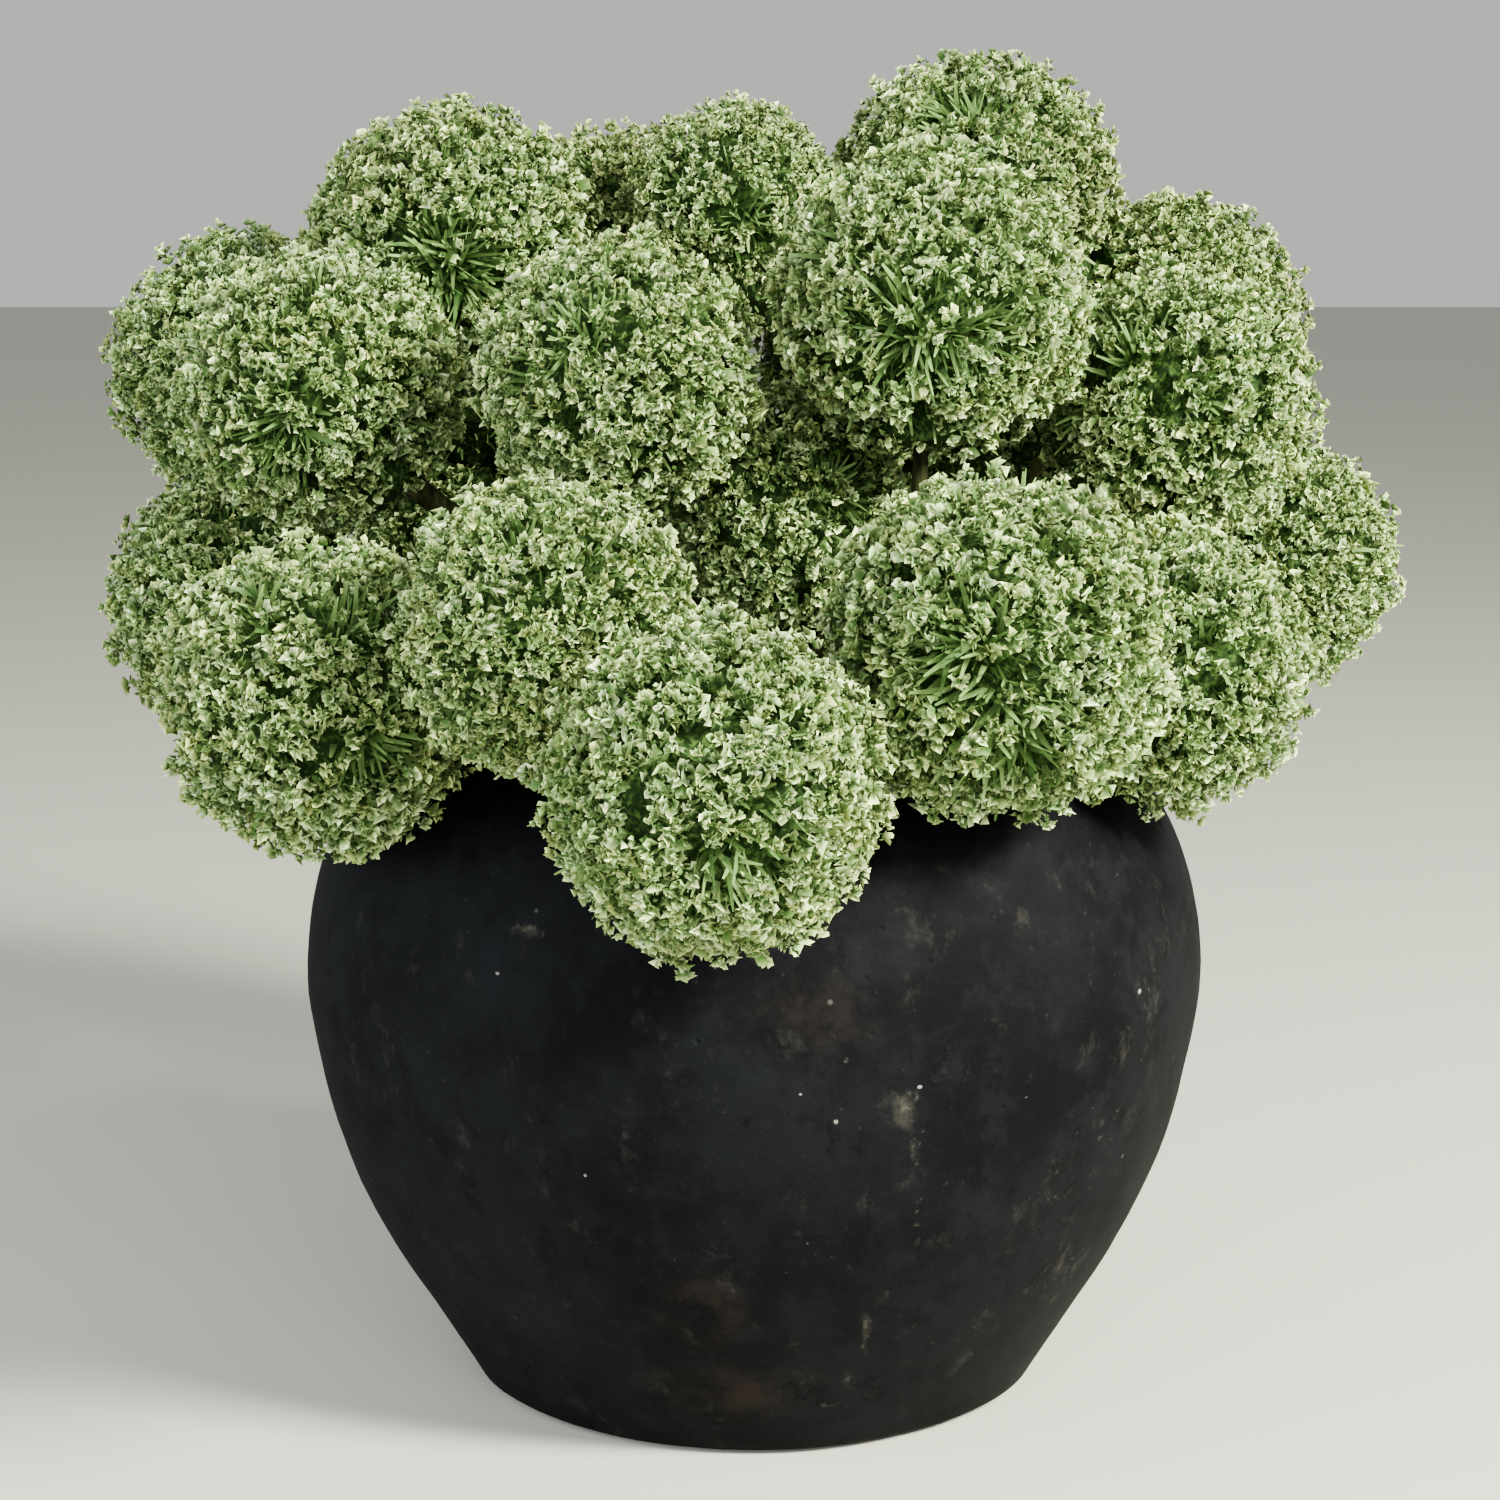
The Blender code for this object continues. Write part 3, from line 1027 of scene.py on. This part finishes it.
    def _scatter(self, w: Weave, spread: Spread) -> NodeSocket:
        """Set one kind of small shape out over the ball.

        Args:
            w: The tree.
            spread: How the shape is set out.

        Returns:
            The realized geometry with its material.
        """
        name, (inmost, outmost), tilt = spread.name, spread.depth, spread.tilt
        spots = w.add("GeometryNodeDistributePointsOnFaces", {"distribute_method": "POISSON"}, {
            "Mesh": w.given["Geometry"], "Distance Min": w.given[name + " spacing"],
            "Density Max": 900000.0, "Density Factor": w.read(spread.density), "Seed": w.given["Seed"]})
        position = w.add("GeometryNodeInputPosition", {}, {}).outputs[0]
        way = w.vector("NORMALIZE", {0: w.vector("SUBTRACT", {0: position, 1: w.given["Centre"]})})
        seed = w.maths("ADD", w.given["Seed"], spread.shift)
        drawn = w.maths("POWER", w.chance(0.0, 1.0, seed, 0.0), 1.7)
        shift = w.maths("ADD", w.maths("MULTIPLY", drawn, outmost - inmost), inmost)
        push = w.vector("SCALE", {0: way, "Scale": w.maths("MULTIPLY", shift, w.given["Radius"])})
        moved = w.add("GeometryNodeSetPosition", {}, {"Geometry": spots.outputs["Points"], "Offset": push})
        leaning = w.vector("ADD", {0: way, 1: w.read("splay", "FLOAT_VECTOR")})
        upright = w.add("FunctionNodeAlignRotationToVector", {"axis": "Z"}, {"Vector": leaning})
        lean = w.chances(((-tilt, tilt), (-tilt, tilt), (-math.pi, math.pi)), seed, 11.0)
        turn = w.add("FunctionNodeEulerToRotation", {}, {"Euler": lean})
        both = w.add("FunctionNodeRotateRotation", {"rotation_space": "LOCAL"}, {
            "Rotation": upright.outputs[0], "Rotate By": turn.outputs[0]})
        kinds = w.add("GeometryNodeCollectionInfo", {"transform_space": "ORIGINAL"}, {
            "Collection": w.given[name + " kinds"], "Separate Children": True, "Reset Children": True})
        scale = w.maths("MULTIPLY", w.chance(*spread.sizes, seed, 14.0), w.given["Size"])
        pick = w.add("FunctionNodeRandomValue", {"data_type": "INT"}, {
            4: 0, 5: 100, "Seed": w.maths("ADD", seed, 15.0)})
        set_out = w.add("GeometryNodeInstanceOnPoints", {}, {
            "Points": moved.outputs[0], "Instance": kinds.outputs[0], "Pick Instance": True,
            "Instance Index": pick.outputs[2], "Rotation": both.outputs[0], "Scale": scale})
        toned = w.add("GeometryNodeStoreNamedAttribute", {"data_type": "FLOAT", "domain": "INSTANCE"}, {
            "Geometry": set_out.outputs[0], "Name": "tone", "Value": w.chance(0.0, 1.0, seed, 16.0)})
        return w.close(toned.outputs[0], w.given[name + " finish"])

    def _tree(self) -> GeometryNodeTree:
        """Build the tree that turns a ball into a head.

        Returns:
            The tree.
        """
        w = Weave("flower_head", {
            "Centre": "Vector", "Radius": "Float", "Size": "Float", "Seed": "Int", "Floret spacing": "Float",
            "Strand spacing": "Float", "Floret kinds": "Collection", "Strand kinds": "Collection",
            "Floret finish": "Material", "Strand finish": "Material", "Core finish": "Material"})
        florets = self._scatter(w, self.florets)
        strands = self._scatter(w, self.strands)
        position = w.add("GeometryNodeInputPosition", {}, {}).outputs[0]
        arm = w.vector("SUBTRACT", {0: position, 1: w.given["Centre"]})
        rough = w.add("ShaderNodeTexNoise", {}, {"Vector": position, "Scale": 160.0, "Detail": 2.0})
        rough = w.maths("MULTIPLY", w.maths("SUBTRACT", rough.outputs[0], 0.5), self.core_rough)
        share = w.maths("ADD", w.read("fill"), rough)
        inner = w.vector("ADD", {0: w.vector("SCALE", {0: arm, "Scale": share}), 1: w.given["Centre"]})
        core = w.add("GeometryNodeSetPosition", {}, {"Geometry": w.given["Geometry"], "Position": inner})
        core = w.add("GeometryNodeMergeByDistance", {}, {
            "Geometry": core.outputs[0], "Distance": self.core_weld})
        core = w.close(core.outputs[0], w.given["Core finish"])
        joined = w.add("GeometryNodeJoinGeometry", {}, {})
        for part in (core, strands, florets):
            w.feed(joined.inputs[0], part)
        w.feed(w.result, joined.outputs[0])
        return w.tree

    def build(self) -> None:
        """Make every head, put it in the place of its solid and let it ride."""
        tuft = Tuft()
        kinds = {kind: tuft.draw(kind) for kind in Kind}
        tree = self._tree()
        values = {"Floret kinds": kinds[Kind.FLORET], "Strand kinds": kinds[Kind.STRAND],
                  "Floret finish": FloretFinish().make(), "Strand finish": StrandFinish().make(),
                  "Core finish": CoreFinish().make(), "Strand spacing": self.strand_spacing}
        for number, head in enumerate(HEADS):
            size = head.size / self.nominal
            spacing = self.spacing * size ** 0.5
            if head.y > self.back_beyond:
                spacing *= self.back_share
            values |= {"Centre": head.centre, "Radius": head.size, "Size": size, "Seed": self.seed + number,
                       "Floret spacing": spacing}
            ball = self._ball(number, values["Core finish"])
            mesh = grow(f"flower_head_{number + 1:02d}", ball, tree, values)
            self._keep_inside(mesh)
            piece = put(mesh.name, mesh)
            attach(piece, "root")
            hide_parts(f"head_{number + 1:02d}")
            log.info("%s: %d faces", piece.name, len(mesh.polygons))
        for home in kinds.values():
            for loose in list(home.objects):
                bpy.data.objects.remove(loose, do_unlink=True)
            bpy.data.collections.remove(home)

    def _keep_inside(self, mesh: Mesh) -> None:
        """Hold every point inside the solids' own box.

        Args:
            mesh: The head's mesh, which is changed.
        """
        spots = np.empty(len(mesh.vertices) * 3, np.float32)
        mesh.vertices.foreach_get("co", spots)
        spots = spots.reshape(-1, 3)
        low, high = np.array(CAD_BOX[0], np.float32), np.array(CAD_BOX[1], np.float32)
        mesh.vertices.foreach_set("co", np.clip(spots, low, high).ravel())
        mesh.update()


@dataclass
class Stems:
    """The round stems, smooth from their holes in the soil into the middle of each head."""

    radius: float = 0.0022
    sides: int = 12
    soil_top: float = 0.202
    hole_depth: float = 0.038
    floor_gap: float = 0.0006
    bend_share: float = 0.45
    low_pull: tuple[float, float] = (0.026, 0.024)
    high_pull: tuple[float, float] = (0.030, 0.030)
    entry_share: float = 0.88
    end_share: float = 0.30
    points: int = 24

    def _path(self, head: HeadPlace) -> list[Vector]:
        """Points along one stem, in metres.

        Args:
            head: The head that it carries.

        Returns:
            The points from the hole's floor to the head's middle.
        """
        rise, reach = self.low_pull if head.low else self.high_pull
        start = Vector((head.stem_x * MM, head.stem_y * MM, self.soil_top))
        end = head.centre + head.seat * head.size * self.entry_share
        most = (end - start).length * self.bend_share
        lift = start + Vector((0.0, 0.0, min(rise, most)))
        lead = end + head.seat * min(reach, most)
        path = [start - Vector((0.0, 0.0, self.hole_depth - self.floor_gap))]
        path += [cubic((start, lift, lead, end), i / self.points) for i in range(self.points + 1)]
        path.append(head.centre + head.seat * head.size * self.end_share)
        return path

    def _tree(self) -> GeometryNodeTree:
        """Build the tree that gives a path its round body.

        Returns:
            The tree.
        """
        w = Weave("stem", {"Radius": "Float", "Sides": "Int", "Finish": "Material"})
        path = w.add("GeometryNodeMeshToCurve", {}, {"Mesh": w.given["Geometry"]})
        ring = w.add("GeometryNodeCurvePrimitiveCircle", {"mode": "RADIUS"}, {
            "Resolution": w.given["Sides"], "Radius": w.given["Radius"]})
        body = w.add("GeometryNodeCurveToMesh", {}, {
            "Curve": path.outputs[0], "Profile Curve": ring.outputs[0], "Fill Caps": True})
        smooth = w.add("GeometryNodeSetShadeSmooth", {}, {"Geometry": body.outputs[0], "Shade Smooth": True})
        w.feed(w.result, w.close(smooth.outputs[0], w.given["Finish"]))
        return w.tree

    def build(self) -> None:
        """Make all the stems as one piece and put it in the place of their solids."""
        spots: list[Vector] = []
        edges: list[tuple[int, int]] = []
        for head in HEADS:
            path = self._path(head)
            edges += [(len(spots) + i, len(spots) + i + 1) for i in range(len(path) - 1)]
            spots += path
        wires = bpy.data.meshes.new("wires")
        wires.from_pydata([tuple(p) for p in spots], edges, [])
        mesh = grow("stems", wires, self._tree(), {
            "Radius": self.radius, "Sides": self.sides, "Finish": StemFinish().make()})
        piece = put("stems", mesh)
        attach(piece, "root")
        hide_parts(*[f"stem_{n + 1:02d}" for n in range(len(HEADS))])
        log.info("stems: %d faces", len(mesh.polygons))


@dataclass
class Jar:
    """The turned clay jar, smooth between the solid's rings, with the slight unevenness of handwork."""

    steps: int = 144
    ring_step: float = 0.0042
    uneven: float = 0.0010
    throwing: float = 0.00025
    even_within: float = 0.030
    even_below: float = 0.0004
    weld: float = 0.00002
    profile: tuple[tuple[float, float], ...] = (
        (0.0, 10.0), (40.0, 10.0), (70.0, 10.0), (87.0, 27.0), (107.0, 62.0), (119.6, 101.0),
        (121.8, 125.0), (118.6, 149.0), (107.5, 173.0), (86.0, 188.5), (66.0, 198.5), (63.5, 204.0),
        (66.0, 210.4), (68.5, 211.8), (71.5, 211.9), (74.5, 210.9), (75.9, 208.0), (75.2, 205.2),
        (79.0, 202.2), (90.0, 197.0), (104.6, 187.0), (116.4, 175.0), (128.0, 150.0), (131.3, 125.0),
        (128.3, 100.0), (122.3, 75.0), (112.2, 50.0), (97.6, 25.0), (86.0, 6.0), (84.0, 2.6), (80.6, 0.6),
        (76.5, 0.0), (40.0, 0.0), (0.0, 0.0))

    def _ring_points(self) -> list[tuple[float, float]]:
        """Points of a smooth curve through the profile.

        Returns:
            Radius and height of each ring, in metres.
        """
        knots = [Vector(p) * MM for p in self.profile]
        made: list[tuple[float, float]] = []
        for i in range(len(knots) - 1):
            before, first, second = knots[max(i - 1, 0)], knots[i], knots[i + 1]
            after = knots[min(i + 2, len(knots) - 1)]
            span = (second - first).length
            count = max(1, round(span / self.ring_step))
            leave = first + (second - before) * span / max((second - before).length, 1e-9) / 3.0
            reach = second - (after - first) * span / max((after - first).length, 1e-9) / 3.0
            for step in range(count):
                spot = cubic((first, leave, reach, second), step / count)
                made.append((max(spot.x, 0.0), max(spot.y, 0.0)))
        made.append((knots[-1].x, knots[-1].y))
        return made

    def build(self) -> None:
        """Turn the jar, make it uneven and put it in the place of its solid."""
        bm = bmesh.new()
        rings = [bm.verts.new((radius, 0.0, height)) for radius, height in self._ring_points()]
        wire = [bm.edges.new(pair) for pair in zip(rings, rings[1:])]
        bmesh.ops.spin(bm, geom=rings + wire, cent=(0, 0, 0), axis=(0, 0, 1), angle=2 * math.pi,
                       steps=self.steps, use_merge=True)
        bmesh.ops.remove_doubles(bm, verts=bm.verts, dist=self.weld)
        bmesh.ops.recalc_face_normals(bm, faces=bm.faces)
        for vert in bm.verts:
            across = math.hypot(vert.co.x, vert.co.y)
            if across < self.even_within or vert.co.z < self.even_below:
                continue
            dent = max(0.0, 0.5 + noise.noise(vert.co * 17.0) + 0.4 * noise.noise(vert.co * 48.0))
            groove = 0.5 + 0.5 * noise.noise(Vector((vert.co.x * 4.0, vert.co.y * 4.0, vert.co.z * 210.0)))
            pull = (dent * self.uneven + groove * self.throwing) / across
            vert.co.x *= 1.0 - pull
            vert.co.y *= 1.0 - pull
        for face in bm.faces:
            face.smooth = True
        mesh = settle("jar", bm, ClayFinish().make())
        piece = put("jar", mesh)
        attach(piece, "root")
        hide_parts("pot")
        log.info("jar: %d faces", len(mesh.polygons))


@dataclass
class Soil:
    """The dark filling: the solid itself, with loose crumbs over its top."""

    radius: float = 0.0615
    height: float = 0.2021
    crumb: float = 0.0020
    spacing: float = 0.0034
    seed: int = 4

    def _tree(self) -> GeometryNodeTree:
        """Build the tree that strews crumbs over a disc.

        Returns:
            The tree.
        """
        w = Weave("crumbs", {"Crumb": "Float", "Spacing": "Float", "Seed": "Int", "Finish": "Material"})
        seed = w.given["Seed"]
        spots = w.add("GeometryNodeDistributePointsOnFaces", {"distribute_method": "POISSON"}, {
            "Mesh": w.given["Geometry"], "Distance Min": w.given["Spacing"], "Density Max": 400000.0,
            "Seed": seed})
        lump = w.add("GeometryNodeMeshIcoSphere", {}, {"Radius": w.given["Crumb"], "Subdivisions": 1})
        squash = w.chances(((0.5, 1.3), (0.4, 1.2), (0.3, 0.9)), seed, 1.0)
        turn = w.chances(((-0.5, 0.5), (-0.5, 0.5), (-3.1, 3.1)), seed, 4.0)
        strewn = w.add("GeometryNodeInstanceOnPoints", {}, {
            "Points": spots.outputs["Points"], "Instance": lump.outputs[0], "Rotation": turn,
            "Scale": squash})
        w.feed(w.result, w.close(strewn.outputs[0], w.given["Finish"]))
        return w.tree

    def build(self) -> None:
        """Dress the solid and strew the crumbs."""
        finish = SoilFinish().make()
        for slot in frame["nodes"]["soil"].material_slots:
            slot.material = finish
        bm = bmesh.new()
        bmesh.ops.create_circle(bm, cap_ends=True, segments=48, radius=self.radius,
                                matrix=Matrix.Translation((0.0, 0.0, self.height)))
        crumbs = grow("soil_crumbs", settle("disc", bm, finish), self._tree(), {
            "Crumb": self.crumb, "Spacing": self.spacing, "Seed": self.seed, "Finish": finish})
        piece = put("soil_crumbs", crumbs)
        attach(piece, "root")
        log.info("soil_crumbs: %d faces", len(crumbs.polygons))


@dataclass
class Studio:
    """A pale floor and soft light from the upper right."""

    floor: Colour = (0.43, 0.425, 0.37)
    sky: Colour = (0.84, 0.85, 0.82)
    sky_strength: float = 0.72
    aim: Colour = (0.0, 0.0, 0.20)
    half_width: float = 8.0

    def _lamp(self, name: str, place: Colour, size: float, power: float,
              colour: Colour = (1.0, 1.0, 1.0)) -> None:
        """Add one soft lamp that looks at the part.

        Args:
            name: The lamp's name.
            place: Where it hangs.
            size: Its edge length.
            power: Its power in watts.
            colour: Its colour.
        """
        data = bpy.data.lights.new(name, "AREA")
        data.size = size
        data.energy = power
        data.color = colour
        made = put(name, data)
        made.location = place
        aim = Vector(self.aim) - Vector(place)
        made.rotation_euler = aim.to_track_quat("-Z", "Y").to_euler()

    def build(self) -> None:
        """Lay the floor and hang the lamps."""
        mesh = bpy.data.meshes.new("floor")
        side = self.half_width
        mesh.from_pydata([(-side, -side, 0), (side, -side, 0), (side, side, 0), (-side, side, 0)], [],
                         [(0, 1, 2, 3)])
        floor = put("floor", mesh)
        mesh.materials.append(Shades("floor").finish(Base_Color=self.floor, Roughness=0.6))
        world = bpy.data.worlds.new("studio")
        world.use_nodes = True
        sky = world.node_tree.nodes["Background"]
        sky.inputs[0].default_value = (*self.sky, 1.0)
        sky.inputs[1].default_value = self.sky_strength
        bpy.context.scene.world = world
        self._lamp("key", (1.08, -0.85, 1.04), 0.36, 178.0, (1.0, 0.99, 0.85))
        self._lamp("front", (0.1, -1.5, 0.9), 1.2, 26.0)
        self._lamp("left", (-1.25, -0.55, 0.5), 1.0, 34.0, (0.88, 0.96, 1.0))


def main() -> None:
    """Build the camera, the light and every piece, in order."""
    logging.basicConfig(level=logging.INFO, format="%(message)s")
    View().make()
    Studio().build()
    Jar().build()
    Soil().build()
    Stems().build()
    FlowerHeads().build()


if __name__ == "__main__":
    main()
